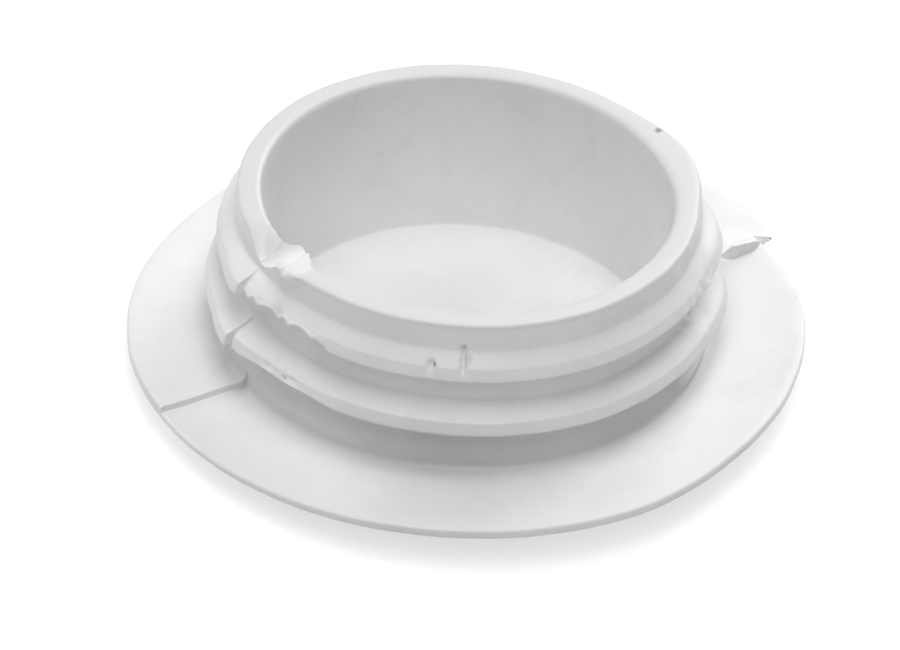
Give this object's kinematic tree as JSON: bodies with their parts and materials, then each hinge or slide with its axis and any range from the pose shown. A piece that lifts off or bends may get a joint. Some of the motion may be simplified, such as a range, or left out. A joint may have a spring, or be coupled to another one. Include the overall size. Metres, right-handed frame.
{
  "type": "plastic hole plug",
  "caption": "Round push-in hole plug: a thin domed head with a hollow barbed cup that snaps into a round hole in a sheet panel.",
  "frame": {"origin": "centre of the head's flat outer face, where the plug rests", "axes": "+Z along the cup's axis, from the head towards the open mouth; X lies in the mould's parting plane"},
  "size_m": [0.0352, 0.034, 0.0103],
  "materials": {
    "white_plastic": "semi-gloss, as moulded, scuffed by handling"
  },
  "bodies": {
    "root": {"hole_plug": "white_plastic"}
  },
  "joints": []
}
